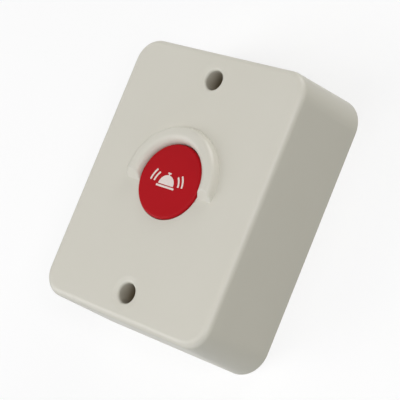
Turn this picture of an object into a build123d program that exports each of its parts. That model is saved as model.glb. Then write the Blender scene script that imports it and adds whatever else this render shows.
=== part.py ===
from build123d import *
from math import atan2, degrees, radians, sqrt, tan
import os

# Waiter call button, a wireless push button that stands on a table or is screwed to a wall.
# Millimetres. The back lies on Z = 0, Z is the button's axis, Y runs along the case
# towards the top of the sign on the button, and X runs across it.

# Case: one moulded cover closed from behind by a base plate
case_width = 70.0  # at the table
case_length = 88.0  # at the table
case_height = 28.7  # table to face
corner_radius = 9.0  # plan corners at the table
draft_angle = 3.3  # lean of the walls, degrees
rim_radius = 2.2  # rounding between walls and face
side_wall = 2.2
face_wall = 2.4
base_thickness = 2.0
base_gap = 0.2  # all round between base plate and cover
lip_width = 1.2  # upstand that locates the base plate
lip_height = 1.6
lip_clearance = 0.3  # lip to bosses, wells and ribs
label_width = 26.0  # bare recess for a rating label
label_length = 13.0
label_corner = 1.0
label_depth = 0.4

# Wells for the two screws that fasten the case to a table or a wall
screw_inset = 10.0  # well axis to the end of the case
well_diameter = 6.2  # passes the screw's head
well_wall = 1.8
well_floor = 3.0
well_mouth_radius = 0.9
well_dish_width = 2.0  # shallow dish round each mouth
well_dish_depth = 0.3
mount_hole_diameter = 3.6

# Bosses and screws that hold the base plate
boss_diameter = 7.0
boss_rib = 1.2  # rib from each boss into its corner
cover_screw_length = 12.0
cover_screw_shank = 2.4
cover_screw_head = 5.0
cover_screw_recess = 0.2  # head below the back
cover_screw_hole = 3.2
cross_length = 2.6  # cross recess in every screw head
cross_width = 0.7
cross_depth = 0.9
pilot_gap = 0.05  # shank to its pilot hole, radial
pilot_runout = 1.0  # pilot hole beyond the screw's tip

# Button
button_offset = 1.1  # button axis above the middle of the case
cap_diameter = 23.2
cap_proud = 0.9  # cap top above the face
cap_gap = 0.2  # cap to bore, radial
cap_top_wall = 1.8
cap_skirt_wall = 1.5
cap_edge_radius = 0.7
cap_stem_diameter = 5.0
press_travel = 2.0
flange_width = 1.5
flange_thickness = 1.5
flange_gap = 0.35  # flange to guide collar, radial
collar_wall = 1.4
collar_extra = 1.0  # collar beyond the pressed flange
key_width = 2.4
key_reach = 1.1
key_gap = 0.3

# Half ring that guards the button from a stray push
guard_height = 2.8
guard_inner_run = 0.7
guard_crest = 2.4
guard_outer_run = 2.3
guard_crest_radius = 2.3
guard_end_rise = 0.2  # crest's end above the button axis
guard_end_run = 2.7  # length of the sloping ends
guard_end_radius = 0.6  # rounding of the ends' outer edges

# Push switch
switch_width = 8.5
switch_height = 6.5
switch_corner = 0.5
switch_top_wall = 0.8
switch_base_height = 1.2
switch_wall = 1.05  # thinnest, round the cavity
plunger_diameter = 4.0
plunger_flange_thickness = 0.8
plunger_gap = 0.15  # plunger to housing, radial
plunger_spare = 0.3  # plunger left above the housing when pressed
cavity_gap = 0.3  # plunger flange to cavity, radial
bridge_thickness = 0.2
bridge_width = 1.5
terminal_width = 0.7
terminal_inset = 1.75  # terminal axis to the switch's sides
terminal_tail = 3.2  # below the switch

# Springs
return_wire = 0.8
return_turns = 6.0
spring_switch_gap = 0.4  # return spring to the switch's corners
switch_wire = 0.35
switch_turns = 3.5
switch_spring_gap = 0.7  # switch spring to cavity, radial
washer_gap = 0.2  # washer to the switch's corners
washer_margin = 1.5  # washer beyond the spring
washer_thickness = 0.8

# Circuit board and its screws
board_thickness = 1.6
board_wall_gap = 2.0  # board edge to the cover's wall at the table
board_well_gap = 0.8
board_corner = 1.5
post_inset = 4.0  # post axis to board edges
post_diameter = 6.0
board_screw_length = 6.0
board_screw_shank = 1.8
board_screw_head = 4.0
board_screw_head_height = 1.5
board_screw_hole = 2.4
lead_gap = 0.2  # leads to their holes

# Battery, a 12 V cell of the small remote-control size
cell_diameter = 8.0
cell_length = 28.2
cell_cap_diameter = 4.0
cell_cap_height = 0.8
cell_edge_radius = 0.4
cell_base_gap = 0.4  # cell to base plate
cell_cradle_gap = 0.1
holder_floor = 0.8
holder_wall = 1.2
holder_side_gap = 0.3
holder_board_inset = 1.5  # holder to the end of the board
snap_length = 12.0
snap_reach = 1.6
snap_thickness = 0.7
snap_gap = 0.25
contact_thickness = 0.4
contact_width = 6.0
contact_height = 6.0
tab_width = 2.0
tab_tail = 1.0  # solder tab above the board
coil_length = 3.0  # battery spring, plate to cell
coil_wire = 0.5
coil_diameter = 5.0
coil_turns = 3.0
coil_cone = 12.0  # degrees

# Radio parts on the board's upper side
side_inset = 9.0  # middle of the side columns to the board's edges
side_step = 8.5  # between parts of the right column
chip_length = 10.0
chip_width = 6.2
chip_height = 2.4
chip_standoff = 0.3
chip_edge = 0.3
leg_width = 0.5
leg_pitch = 2.54
leg_count = 4
leg_reach = 1.2
leg_thickness = 0.25
can_diameter = 8.4
can_height = 3.4
can_flange = 0.4
can_edge_radius = 0.5
can_lead = 0.5
can_lead_circle = 5.0
transistor_length = 4.5
transistor_width = 2.5
transistor_height = 1.5
transistor_leg = 0.9
transistor_pitch = 1.5
trimmer_diameter = 6.0
trimmer_height = 1.6
rotor_diameter = 3.6
rotor_height = 1.0
rotor_slot = 0.6
electrolytic_diameter = 6.3
electrolytic_height = 5.0
electrolytic_foot = 0.8
electrolytic_margin = 0.2  # foot beyond the can
electrolytic_drop = 10.5  # below the button axis
resistor_length = 3.2
resistor_width = 1.6
resistor_height = 0.6
resistor_count = 6
ceramic_length = 2.0
ceramic_width = 1.25
ceramic_height = 0.9
ceramic_count = 4
end_cap = 0.5  # metal ends of the small parts
end_cap_rise = 0.05
row_pitch = 5.0
row_step = 4.0  # between the two rows of small parts
row_inset = 4.0  # first row to the board's lower edge
antenna_wire = 0.8
antenna_diameter = 5.4
antenna_length = 26.0
antenna_turns = 11.0
antenna_inset = 5.0  # antenna axis to the board's upper edge
antenna_leg_extra = 0.05  # legs thicker than the wire, radial
lead_tail = 1.5  # other leads below the board

# Worked out from the sizes above: case and button
draft_slope = tan(radians(draft_angle))
roof_z = case_height - face_wall
screw_y = case_length / 2 - screw_inset
well_radius = well_diameter / 2
well_outer_radius = well_radius + well_wall
well_dish_angle = 2 * degrees(atan2(well_dish_width, well_dish_depth))
match_tolerance = 0.01  # for edges picked out by their radius
boss_x = case_width / 2 - corner_radius
boss_y = case_length / 2 - corner_radius
boss_radius = boss_diameter / 2
cover_screw_tip = cover_screw_recess + cover_screw_length
cap_radius = cap_diameter / 2
bore_radius = cap_radius + cap_gap
cap_top_z = case_height + cap_proud
cap_ceiling_z = cap_top_z - cap_top_wall
flange_radius = bore_radius + flange_width
flange_z = roof_z - flange_thickness
collar_radius = flange_radius + flange_gap
collar_z = flange_z - press_travel - collar_extra

# Battery, board and switch, from the base plate upwards
cell_z = base_thickness + cell_base_gap + cell_diameter / 2
holder_floor_z = cell_z + cell_diameter / 2 + cell_cradle_gap
board_z = holder_floor_z + holder_floor
board_top_z = board_z + board_thickness
board_width = case_width - 2 * (side_wall + board_wall_gap)
board_length = 2 * (screw_y - well_outer_radius - board_well_gap)
post_x = board_width / 2 - post_inset
post_y = board_length / 2 - post_inset
switch_base_z = board_top_z + switch_base_height
switch_top_z = board_top_z + switch_height
switch_reach = switch_width / sqrt(2)
cavity_radius = switch_width / 2 - switch_wall
cavity_top_z = switch_top_z - switch_top_wall
plunger_top_z = switch_top_z + press_travel + plunger_spare
plunger_flange_z = cavity_top_z - plunger_flange_thickness
plunger_flange_radius = cavity_radius - cavity_gap
terminal_x = switch_width / 2 - terminal_inset
washer_top_z = board_top_z + washer_thickness
return_coil_radius = switch_reach + spring_switch_gap + return_wire / 2
holder_inner_width = cell_diameter + 2 * holder_side_gap
holder_inner_length = cell_length + coil_length + 2 * contact_thickness
holder_width = holder_inner_width + 2 * holder_wall
holder_length = holder_inner_length + 2 * holder_wall
holder_end_x = holder_inner_length / 2
cell_y = holder_board_inset + holder_width / 2 - board_length / 2
side_x = board_width / 2 - side_inset
row_y = row_inset - board_length / 2
antenna_y = board_length / 2 - antenna_inset
antenna_z = board_top_z + antenna_diameter / 2
can_y = button_offset + side_step
corner_signs = [(1, 1), (-1, 1), (-1, -1), (1, -1)]
button_axis = Axis((0, button_offset, 0), (0, 0, 1))
button_centre = (0, button_offset)
back_plane = Plane(origin=(0, 0, 0), x_dir=(1, 0, 0), z_dir=(0, 0, -1))

os.makedirs("parts", exist_ok=True)


def finish(piece, name):
    piece.part.label = name
    export_step(piece.part, f"parts/{name}.step")


def coil_spring(foot, axis, radius, wire, turns, height, cone=0):
    # Round wire wound about an axis, resting on both of its seats
    wound_height = height - wire
    with BuildPart() as spring:
        with BuildLine() as coil:
            Helix(
                pitch=wound_height / turns,
                height=wound_height,
                radius=radius,
                center=Vector(foot) + Vector(axis) * (wire / 2),
                direction=axis,
                cone_angle=cone,
            )
        with BuildSketch(Plane(origin=coil.line @ 0, z_dir=coil.line % 0)):
            Circle(wire / 2)
        sweep(path=coil.line, is_frenet=True)
    return spring


# Guard: a half ring with a rounded outer flank and sloping ends, joined to the cover below
guard_crest_in = bore_radius + guard_inner_run
guard_crest_out = guard_crest_in + guard_crest
guard_rim = guard_crest_out + guard_outer_run
guard_plane = Plane(origin=(0, button_offset, case_height), x_dir=(1, 0, 0), z_dir=(0, -1, 0))
guard_end_plane = Plane(
    origin=(0, button_offset + guard_end_rise, case_height + guard_height),
    x_dir=(1, 0, 0),
    z_dir=(0, -guard_height, guard_end_run),
)
with BuildPart() as guard:
    with BuildSketch(guard_plane):
        with BuildLine():
            Polyline(
                (guard_rim, 0),
                (guard_rim, -face_wall / 2),
                (bore_radius, -face_wall / 2),
                (bore_radius, 0),
                (guard_crest_in, guard_height),
                (guard_crest_out, guard_height),
            )
            Spline(
                (guard_crest_out, guard_height),
                (guard_rim, 0),
                tangents=((1, 0), (0.25, -1)),
            )
        crest_section = make_face()
        crest_corner = crest_section.vertices().group_by(Axis.Y)[-1].sort_by(Axis.X)[0]
        fillet(crest_corner, guard_crest_radius)
    revolve(axis=button_axis)
    split(bisect_by=guard_end_plane, keep=Keep.BOTTOM)
    guard_ends = guard.faces().filter_by(guard_end_plane)
    fillet(guard_ends.edges().filter_by(GeomType.BSPLINE), guard_end_radius)

# Front cover: drafted shell with guard, bore, guide collar, wells, bosses and board posts
rib_z = base_thickness + lip_height + lip_clearance
rib_top_z = roof_z + face_wall / 4
rib_end = corner_radius - side_wall / 2
fused_z = roof_z + face_wall / 2
with BuildPart() as front_cover:
    with BuildSketch(Plane.XY):
        RectangleRounded(case_width, case_length, corner_radius)
    extrude(amount=case_height, taper=draft_angle)
    fillet(front_cover.faces().sort_by(Axis.Z)[-1].edges(), rim_radius)
    with BuildSketch(Plane.XY):
        RectangleRounded(
            case_width - 2 * side_wall,
            case_length - 2 * side_wall,
            corner_radius - side_wall,
        )
    extrude(amount=roof_z, taper=draft_angle, mode=Mode.SUBTRACT)

    # Screw wells and corner bosses, down to the base plate
    with BuildSketch(Plane.XY.offset(base_thickness)):
        with GridLocations(0, 2 * screw_y, 1, 2):
            Circle(well_outer_radius)
        with GridLocations(2 * boss_x, 2 * boss_y, 2, 2):
            Circle(boss_radius)
    extrude(amount=fused_z - base_thickness)

    # Ribs from the bosses into the corners end in the middle of the leaning wall
    for x_sign, y_sign in corner_signs:
        outward = Vector(x_sign, y_sign, 0).normalized()
        rib_plane = Plane(
            origin=(x_sign * boss_x, y_sign * boss_y, 0),
            x_dir=outward,
            z_dir=outward.cross(Vector(0, 0, 1)),
        )
        with BuildSketch(rib_plane):
            with BuildLine():
                Polyline(
                    (0, rib_z),
                    (rib_end - rib_z * draft_slope, rib_z),
                    (rib_end - rib_top_z * draft_slope, rib_top_z),
                    (0, rib_top_z),
                    close=True,
                )
            make_face()
        extrude(amount=boss_rib / 2, both=True)

    # Board posts, and the collar that guides the button, with its keyway
    with BuildSketch(Plane.XY.offset(board_top_z)):
        with GridLocations(2 * post_x, 2 * post_y, 2, 2):
            Circle(post_diameter / 2)
    extrude(amount=fused_z - board_top_z)
    with BuildSketch(Plane.XY.offset(collar_z)):
        with Locations(button_centre):
            Circle(collar_radius + collar_wall)
            Circle(collar_radius, mode=Mode.SUBTRACT)
    extrude(amount=roof_z - collar_z)
    with BuildSketch(Plane.XY.offset(collar_z)):
        with Locations(button_centre):
            Rectangle(
                key_width + 2 * key_gap,
                collar_radius + collar_wall + key_gap,
                align=(Align.CENTER, Align.MIN),
            )
    extrude(amount=roof_z - collar_z, mode=Mode.SUBTRACT)

    # Guard and button bore
    add(guard.part)
    with BuildSketch(Plane.XY.offset(roof_z)):
        with Locations(button_centre):
            Circle(bore_radius)
    extrude(amount=face_wall + guard_height, mode=Mode.SUBTRACT)

    # Wells with rounded mouths, mounting holes, and pilot holes for the screws
    with Locations(Plane.XY.offset(case_height)):
        with GridLocations(0, 2 * screw_y, 1, 2):
            CounterSinkHole(
                well_radius,
                well_radius + well_dish_width,
                depth=case_height - base_thickness - well_floor,
                counter_sink_angle=well_dish_angle,
            )
    mouths = front_cover.edges().filter_by(GeomType.CIRCLE)
    mouths = mouths.filter_by(lambda edge: abs(edge.radius - well_radius) < match_tolerance)
    fillet(mouths.group_by(Axis.Z)[-1], well_mouth_radius)
    with BuildSketch(Plane.XY.offset(base_thickness)):
        with GridLocations(0, 2 * screw_y, 1, 2):
            Circle(mount_hole_diameter / 2)
    extrude(amount=well_floor, mode=Mode.SUBTRACT)
    with BuildSketch(Plane.XY.offset(base_thickness)):
        with GridLocations(2 * boss_x, 2 * boss_y, 2, 2):
            Circle(cover_screw_shank / 2 + pilot_gap)
    extrude(amount=cover_screw_tip + pilot_runout - base_thickness, mode=Mode.SUBTRACT)
    with BuildSketch(Plane.XY.offset(board_top_z)):
        with GridLocations(2 * post_x, 2 * post_y, 2, 2):
            Circle(board_screw_shank / 2 + pilot_gap)
    extrude(amount=board_screw_length + pilot_runout - board_thickness, mode=Mode.SUBTRACT)
finish(front_cover, "front_cover")

# Base plate: flat back with a locating lip, countersinks, mounting holes and a bare label recess
lip_inset = side_wall + base_gap + lip_width + base_thickness * draft_slope
with BuildPart() as base_plate:
    with BuildSketch(Plane.XY):
        RectangleRounded(
            case_width - 2 * (side_wall + base_gap),
            case_length - 2 * (side_wall + base_gap),
            corner_radius - side_wall - base_gap,
        )
    extrude(amount=base_thickness + lip_height, taper=draft_angle)
    with BuildSketch(Plane.XY.offset(base_thickness)):
        RectangleRounded(
            case_width - 2 * lip_inset,
            case_length - 2 * lip_inset,
            corner_radius - lip_inset,
        )
        with GridLocations(0, 2 * screw_y, 1, 2):
            Circle(well_outer_radius + lip_clearance)
        with GridLocations(2 * boss_x, 2 * boss_y, 2, 2):
            Circle(boss_radius + lip_clearance)
    extrude(amount=lip_height, mode=Mode.SUBTRACT)
    with BuildSketch(Plane.XY):
        with GridLocations(0, 2 * screw_y, 1, 2):
            Circle(mount_hole_diameter / 2)
    extrude(amount=base_thickness, mode=Mode.SUBTRACT)
    with BuildSketch(Plane.XY):
        with Locations((0, screw_y / 2)):
            RectangleRounded(label_width, label_length, label_corner)
    extrude(amount=label_depth, mode=Mode.SUBTRACT)
    with Locations(back_plane):
        with GridLocations(2 * boss_x, 2 * boss_y, 2, 2):
            CounterSinkHole(
                cover_screw_hole / 2,
                cover_screw_head / 2 + cover_screw_recess + pilot_gap,
                counter_sink_angle=90,
            )
finish(base_plate, "base_plate")

# Cover screws: countersunk, with a cross recess
head_drop = (cover_screw_head - cover_screw_shank) / 2
with BuildPart() as cover_screws:
    for x_sign, y_sign in corner_signs:
        head_centre = (x_sign * boss_x, y_sign * boss_y, cover_screw_recess)
        with BuildSketch(Plane(origin=head_centre, x_dir=(1, 0, 0), z_dir=(0, -1, 0))):
            with BuildLine():
                Polyline(
                    (0, 0),
                    (cover_screw_head / 2, 0),
                    (cover_screw_shank / 2, head_drop),
                    (cover_screw_shank / 2, cover_screw_length - cover_screw_shank),
                    (0, cover_screw_length),
                    close=True,
                )
            make_face()
        revolve(axis=Axis(head_centre, (0, 0, 1)))
    with BuildSketch(Plane.XY.offset(cover_screw_recess)):
        with GridLocations(2 * boss_x, 2 * boss_y, 2, 2):
            Rectangle(cross_length, cross_width)
            Rectangle(cross_width, cross_length)
    extrude(amount=cross_depth, mode=Mode.SUBTRACT)
finish(cover_screws, "cover_screws")

# Button cap with skirt, retaining flange, key and stem
with BuildPart() as button_cap:
    with BuildSketch(Plane.XY.offset(flange_z)):
        with Locations(button_centre):
            Circle(flange_radius)
            Rectangle(key_width, flange_radius + key_reach, align=(Align.CENTER, Align.MIN))
    extrude(amount=flange_thickness)
    with BuildSketch(Plane.XY.offset(flange_z)):
        with Locations(button_centre):
            Circle(cap_radius)
    extrude(amount=cap_top_z - flange_z)
    cap_rim = button_cap.edges().filter_by(GeomType.CIRCLE).sort_by(Axis.Z)[-1]
    fillet(cap_rim, cap_edge_radius)
    with BuildSketch(Plane.XY.offset(flange_z)):
        with Locations(button_centre):
            Circle(cap_radius - cap_skirt_wall)
    extrude(amount=cap_ceiling_z - flange_z, mode=Mode.SUBTRACT)
    with BuildSketch(Plane.XY.offset(plunger_top_z)):
        with Locations(button_centre):
            Circle(cap_stem_diameter / 2)
    extrude(amount=cap_ceiling_z + cap_top_wall / 2 - plunger_top_z)
finish(button_cap, "button_cap")

# Return spring under the cap, standing on an insulating washer on the board
return_spring = coil_spring(
    foot=(0, button_offset, washer_top_z),
    axis=(0, 0, 1),
    radius=return_coil_radius,
    wire=return_wire,
    turns=return_turns,
    height=cap_ceiling_z - washer_top_z,
)
finish(return_spring, "return_spring")

with BuildPart() as spring_washer:
    with BuildSketch(Plane.XY.offset(board_top_z)):
        with Locations(button_centre):
            Circle(return_coil_radius + return_wire / 2 + washer_margin)
            Circle(switch_reach + washer_gap, mode=Mode.SUBTRACT)
    extrude(amount=washer_thickness)
finish(spring_washer, "spring_washer")

# Push switch: a base with four terminals, a housing, and a sprung plunger with its bridge
with BuildPart() as switch_base:
    with BuildSketch(Plane.XY.offset(board_top_z)):
        with Locations(button_centre):
            RectangleRounded(switch_width, switch_width, switch_corner)
            with GridLocations(2 * terminal_x, 2 * terminal_x, 2, 2):
                Rectangle(terminal_width, terminal_width, mode=Mode.SUBTRACT)
    extrude(amount=switch_base_height)
finish(switch_base, "switch_base")

with BuildPart() as switch_terminals:
    with BuildSketch(Plane.XY.offset(board_top_z - terminal_tail)):
        with Locations(button_centre):
            with GridLocations(2 * terminal_x, 2 * terminal_x, 2, 2):
                Rectangle(terminal_width, terminal_width)
    extrude(amount=terminal_tail + switch_base_height)
finish(switch_terminals, "switch_terminals")

with BuildPart() as switch_housing:
    with BuildSketch(Plane.XY.offset(switch_base_z)):
        with Locations(button_centre):
            RectangleRounded(switch_width, switch_width, switch_corner)
    extrude(amount=switch_top_z - switch_base_z)
    with BuildSketch(Plane.XY.offset(switch_base_z)):
        with Locations(button_centre):
            Circle(cavity_radius)
    extrude(amount=cavity_top_z - switch_base_z, mode=Mode.SUBTRACT)
    with BuildSketch(Plane.XY.offset(switch_base_z)):
        with Locations(button_centre):
            Circle(plunger_diameter / 2 + plunger_gap)
    extrude(amount=switch_top_z - switch_base_z, mode=Mode.SUBTRACT)
finish(switch_housing, "switch_housing")

with BuildPart() as switch_plunger:
    with BuildSketch(Plane.XY.offset(plunger_flange_z)):
        with Locations(button_centre):
            Circle(plunger_flange_radius)
    extrude(amount=plunger_flange_thickness)
    with BuildSketch(Plane.XY.offset(plunger_flange_z)):
        with Locations(button_centre):
            Circle(plunger_diameter / 2)
    extrude(amount=plunger_top_z - plunger_flange_z)
finish(switch_plunger, "switch_plunger")

with BuildPart() as switch_bridge:
    with BuildSketch(Plane.XY.offset(plunger_flange_z - bridge_thickness)):
        with Locations(button_centre):
            Circle(plunger_flange_radius)
            Circle(plunger_flange_radius - bridge_width, mode=Mode.SUBTRACT)
    extrude(amount=bridge_thickness)
finish(switch_bridge, "switch_bridge")

switch_spring = coil_spring(
    foot=(0, button_offset, switch_base_z),
    axis=(0, 0, 1),
    radius=cavity_radius - switch_spring_gap - switch_wire / 2,
    wire=switch_wire,
    turns=switch_turns,
    height=plunger_flange_z - bridge_thickness - switch_base_z,
)
finish(switch_spring, "switch_spring")

# Circuit board with holes for its screws and for the leads that pass through it
tab_x = holder_end_x - contact_thickness / 2
with BuildPart() as circuit_board:
    with BuildSketch(Plane.XY.offset(board_z)):
        RectangleRounded(board_width, board_length, board_corner)
        with GridLocations(2 * post_x, 2 * post_y, 2, 2):
            Circle(board_screw_hole / 2, mode=Mode.SUBTRACT)
        with Locations(button_centre):
            with GridLocations(2 * terminal_x, 2 * terminal_x, 2, 2):
                Circle(terminal_width / sqrt(2) + lead_gap, mode=Mode.SUBTRACT)
        with Locations((tab_x, cell_y), (-tab_x, cell_y)):
            Rectangle(
                contact_thickness + 2 * lead_gap,
                tab_width + 2 * lead_gap,
                mode=Mode.SUBTRACT,
            )
        with Locations((side_x, can_y)):
            with PolarLocations(can_lead_circle / 2, 3):
                Circle(can_lead / 2 + lead_gap, mode=Mode.SUBTRACT)
        with Locations((0, antenna_y)):
            with GridLocations(antenna_length, 0, 2, 1):
                Circle(antenna_wire / 2 + antenna_leg_extra + lead_gap, mode=Mode.SUBTRACT)
    extrude(amount=board_thickness)
finish(circuit_board, "circuit_board")

# Board screws: round heads under the board, shanks up into the posts
with BuildPart() as board_screws:
    with BuildSketch(Plane.XY.offset(board_z - board_screw_head_height)):
        with GridLocations(2 * post_x, 2 * post_y, 2, 2):
            Circle(board_screw_head / 2)
    extrude(amount=board_screw_head_height)
    head_rims = board_screws.edges().filter_by(GeomType.CIRCLE).group_by(Axis.Z)[0]
    fillet(head_rims, board_screw_head_height / 2)
    with BuildSketch(Plane.XY.offset(board_z)):
        with GridLocations(2 * post_x, 2 * post_y, 2, 2):
            Circle(board_screw_shank / 2)
    extrude(amount=board_screw_length)
    with BuildSketch(Plane.XY.offset(board_z - board_screw_head_height)):
        with GridLocations(2 * post_x, 2 * post_y, 2, 2):
            Rectangle(cross_length, cross_width)
            Rectangle(cross_width, cross_length)
    extrude(amount=cross_depth, mode=Mode.SUBTRACT)
finish(board_screws, "board_screws")

# Battery holder: an open cradle under the board, with snap hooks under the cell
snap_half_gap = holder_inner_width / 2 - snap_reach
snap_top_z = cell_z - sqrt(cell_diameter**2 / 4 - snap_half_gap**2) - snap_gap
with BuildPart() as battery_holder:
    with BuildSketch(Plane.XY.offset(cell_z)):
        with Locations((0, cell_y)):
            Rectangle(holder_length, holder_width)
    extrude(amount=board_z - cell_z)
    with BuildSketch(Plane.XY.offset(snap_top_z - snap_thickness)):
        with Locations((0, cell_y)):
            Rectangle(snap_length, holder_width)
    extrude(amount=cell_z - snap_top_z + snap_thickness)
    with BuildSketch(Plane.XY.offset(snap_top_z)):
        with Locations((0, cell_y)):
            Rectangle(holder_inner_length, holder_inner_width)
    extrude(amount=holder_floor_z - snap_top_z, mode=Mode.SUBTRACT)
    with BuildSketch(Plane.XY.offset(snap_top_z - snap_thickness)):
        with Locations((0, cell_y)):
            Rectangle(snap_length, 2 * snap_half_gap)
    extrude(amount=snap_thickness, mode=Mode.SUBTRACT)
    with BuildSketch(Plane.XY.offset(holder_floor_z)):
        with Locations((tab_x, cell_y), (-tab_x, cell_y)):
            Rectangle(contact_thickness + 2 * lead_gap, tab_width + 2 * lead_gap)
    extrude(amount=holder_floor, mode=Mode.SUBTRACT)
finish(battery_holder, "battery_holder")

# Cell: its base against the spring, its cap against the plate
cell_plane = Plane(
    origin=(coil_length + contact_thickness - holder_end_x, cell_y, cell_z),
    x_dir=(0, 1, 0),
    z_dir=(1, 0, 0),
)
with BuildPart() as battery_cell:
    with BuildSketch(cell_plane):
        Circle(cell_diameter / 2)
    extrude(amount=cell_length - cell_cap_height)
    fillet(battery_cell.edges().filter_by(GeomType.CIRCLE), cell_edge_radius)
    with BuildSketch(cell_plane):
        Circle(cell_cap_diameter / 2)
    extrude(amount=cell_length)
finish(battery_cell, "battery_cell")


def contact_plate(x):
    # Upright plate against an end wall, with a solder tab through the board
    with BuildPart() as plate:
        with BuildSketch(Plane.XY.offset(holder_floor_z - contact_height)):
            with Locations((x, cell_y)):
                Rectangle(contact_thickness, contact_width)
        extrude(amount=contact_height)
        with BuildSketch(Plane.XY.offset(holder_floor_z)):
            with Locations((x, cell_y)):
                Rectangle(contact_thickness, tab_width)
        extrude(amount=board_top_z + tab_tail - holder_floor_z)
    return plate


battery_contact = contact_plate(tab_x)
finish(battery_contact, "battery_contact")

# Battery spring: a conical coil that grows out of its plate
cell_coil = coil_spring(
    foot=(contact_thickness / 2 - holder_end_x, cell_y, cell_z),
    axis=(1, 0, 0),
    radius=(coil_diameter - coil_wire) / 2,
    wire=coil_wire,
    turns=coil_turns,
    height=coil_length + contact_thickness / 2,
    cone=-coil_cone,
)
with BuildPart() as battery_spring:
    add(contact_plate(-tab_x).part)
    add(cell_coil.part)
finish(battery_spring, "battery_spring")

# Encoder chip with gull-wing legs, left of the button
with BuildPart() as encoder_chip:
    with BuildSketch(Plane.XY.offset(board_top_z + chip_standoff)):
        with Locations((-side_x, button_offset)):
            Rectangle(chip_width, chip_length)
    extrude(amount=chip_height - chip_standoff)
    chamfer(encoder_chip.faces().sort_by(Axis.Z)[-1].edges(), chip_edge)
    first_leg = -leg_pitch * (leg_count - 1) / 2
    shoulder_z = (chip_height + chip_standoff - leg_thickness) / 2
    for leg in range(leg_count):
        leg_y = button_offset + first_leg + leg * leg_pitch
        leg_origin = (-side_x, leg_y + leg_width / 2, board_top_z)
        with BuildSketch(Plane(origin=leg_origin, x_dir=(1, 0, 0), z_dir=(0, -1, 0))):
            with BuildLine():
                Polyline(
                    (0, shoulder_z),
                    (chip_width / 2 + leg_reach / 2, shoulder_z),
                    (chip_width / 2 + leg_reach / 2, 0),
                    (chip_width / 2 + leg_reach, 0),
                    (chip_width / 2 + leg_reach, leg_thickness),
                    (chip_width / 2 + leg_reach / 2 + leg_thickness, leg_thickness),
                    (chip_width / 2 + leg_reach / 2 + leg_thickness, shoulder_z + leg_thickness),
                    (0, shoulder_z + leg_thickness),
                    close=True,
                )
            make_face()
            mirror(about=Plane.YZ)
        extrude(amount=leg_width)
finish(encoder_chip, "encoder_chip")

# Resonator in a round can with three leads, right of the button
with BuildPart() as resonator_can:
    with BuildSketch(Plane.XY.offset(board_top_z)):
        with Locations((side_x, can_y)):
            Circle(can_diameter / 2)
    extrude(amount=can_flange)
    with BuildSketch(Plane.XY.offset(board_top_z)):
        with Locations((side_x, can_y)):
            Circle(can_diameter / 2 - can_flange)
    extrude(amount=can_height)
    can_rim = resonator_can.edges().filter_by(GeomType.CIRCLE).sort_by(Axis.Z)[-1]
    fillet(can_rim, can_edge_radius)
    with BuildSketch(Plane.XY.offset(board_z - lead_tail)):
        with Locations((side_x, can_y)):
            with PolarLocations(can_lead_circle / 2, 3):
                Circle(can_lead / 2)
    extrude(amount=board_thickness + lead_tail)
finish(resonator_can, "resonator_can")

# Transistor with three flat legs on one side and a tab on the other
with BuildPart() as rf_transistor:
    with BuildSketch(Plane.XY.offset(board_top_z)):
        with Locations((side_x, button_offset)):
            Rectangle(transistor_width, transistor_length)
    extrude(amount=transistor_height)
    chamfer(rf_transistor.faces().sort_by(Axis.Z)[-1].edges(), chip_edge)
    with BuildSketch(Plane.XY.offset(board_top_z)):
        with Locations((side_x, button_offset)):
            with GridLocations(0, transistor_pitch, 1, 3):
                Rectangle(
                    transistor_width / 2 + transistor_leg,
                    leg_width,
                    align=(Align.MAX, Align.CENTER),
                )
            Rectangle(
                transistor_width / 2 + transistor_leg,
                transistor_pitch,
                align=(Align.MIN, Align.CENTER),
            )
    extrude(amount=leg_thickness)
finish(rf_transistor, "rf_transistor")

# Trimmer capacitor with a slotted rotor
with BuildPart() as trimmer_capacitor:
    with BuildSketch(Plane.XY.offset(board_top_z)):
        with Locations((side_x, button_offset - side_step)):
            Circle(trimmer_diameter / 2)
    extrude(amount=trimmer_height)
    with BuildSketch(Plane.XY.offset(board_top_z + trimmer_height)):
        with Locations((side_x, button_offset - side_step)):
            Circle(rotor_diameter / 2)
            Rectangle(rotor_slot, rotor_diameter, mode=Mode.SUBTRACT)
    extrude(amount=rotor_height)
finish(trimmer_capacitor, "trimmer_capacitor")

# Storage capacitor: a round can on a square foot, below the chip
with BuildPart() as storage_capacitor:
    with BuildSketch(Plane.XY.offset(board_top_z)):
        with Locations((-side_x, button_offset - electrolytic_drop)):
            Rectangle(
                electrolytic_diameter + 2 * electrolytic_margin,
                electrolytic_diameter + 2 * electrolytic_margin,
            )
    extrude(amount=electrolytic_foot)
    with BuildSketch(Plane.XY.offset(board_top_z)):
        with Locations((-side_x, button_offset - electrolytic_drop)):
            Circle(electrolytic_diameter / 2)
    extrude(amount=electrolytic_height)
    electrolytic_rim = storage_capacitor.edges().filter_by(GeomType.CIRCLE).sort_by(Axis.Z)[-1]
    fillet(electrolytic_rim, can_edge_radius)
finish(storage_capacitor, "storage_capacitor")


def chip_row(count, y, length, width, height):
    # Small board parts in a row, each with a slightly thicker metal cap on both ends
    with BuildPart() as row:
        with BuildSketch(Plane.XY.offset(board_top_z)):
            with Locations((0, y)):
                with GridLocations(row_pitch, 0, count, 1):
                    Rectangle(length, width)
        extrude(amount=height)
        with BuildSketch(Plane.XY.offset(board_top_z + height)):
            with Locations((0, y)):
                with GridLocations(row_pitch, 0, count, 1):
                    Rectangle(length, width)
                    Rectangle(length - 2 * end_cap, width, mode=Mode.SUBTRACT)
        extrude(amount=end_cap_rise)
    return row


resistors = chip_row(resistor_count, row_y, resistor_length, resistor_width, resistor_height)
finish(resistors, "resistors")
ceramic_capacitors = chip_row(
    ceramic_count, row_y + row_step, ceramic_length, ceramic_width, ceramic_height
)
finish(ceramic_capacitors, "ceramic_capacitors")

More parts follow.
